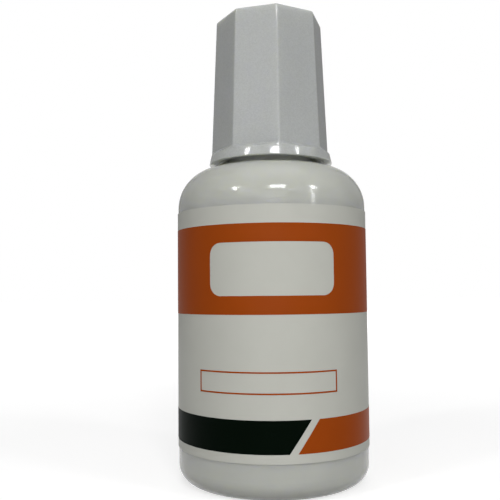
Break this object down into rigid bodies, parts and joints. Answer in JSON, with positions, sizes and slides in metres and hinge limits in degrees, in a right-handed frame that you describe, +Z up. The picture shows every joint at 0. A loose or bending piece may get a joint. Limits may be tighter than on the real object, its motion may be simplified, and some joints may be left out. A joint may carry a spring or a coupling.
{
  "type": "correction fluid bottle",
  "caption": "Small round bottle of correction fluid with a wrap-round label and a tall eight-sided screw cap that carries the brush.",
  "frame": {"origin": "centre of the ring under the base, on the bottle's axis", "axes": "+Z up along the bottle's axis, -Y the way the label's front faces, +X to the right of a person who looks at the front"},
  "size_m": [0.03, 0.03, 0.0733],
  "materials": {
    "bottle_plastic": "glossy white blown polyethylene",
    "label_film": "satin white film with an orange band and an orange and green stripe",
    "natural_plastic": "natural polyethylene",
    "steel": "bright steel",
    "seal_foam": "foamed polyethylene",
    "cap_plastic": "satin pearl grey moulding",
    "stem_plastic": "smooth white moulding",
    "bristles": "nylon bristles"
  },
  "bodies": {
    "bottle": {"bottle": "bottle_plastic", "label": "label_film", "wiper": "natural_plastic", "mixing_ball": "steel"},
    "seal": {"seal_washer": "seal_foam"},
    "cap": {"cap": "cap_plastic", "brush_stem": "stem_plastic", "bristle_tuft": "bristles", "anchor_wire": "steel"}
  },
  "joints": [
    {"name": "cap_rise", "type": "slide", "parent": "bottle", "child": "seal", "axis": [0, 0, 1], "range_m": [0, 0.0526]},
    {"name": "cap_turn", "type": "hinge", "parent": "seal", "child": "cap", "pos_m": [0, 0, 0.0599], "axis": [0, 0, 1], "range_deg": [0, 6300]}
  ],
  "couplings": [
    {"joint": "cap_rise", "follows": "cap_turn", "m_per_rad": 0.00047746}
  ]
}
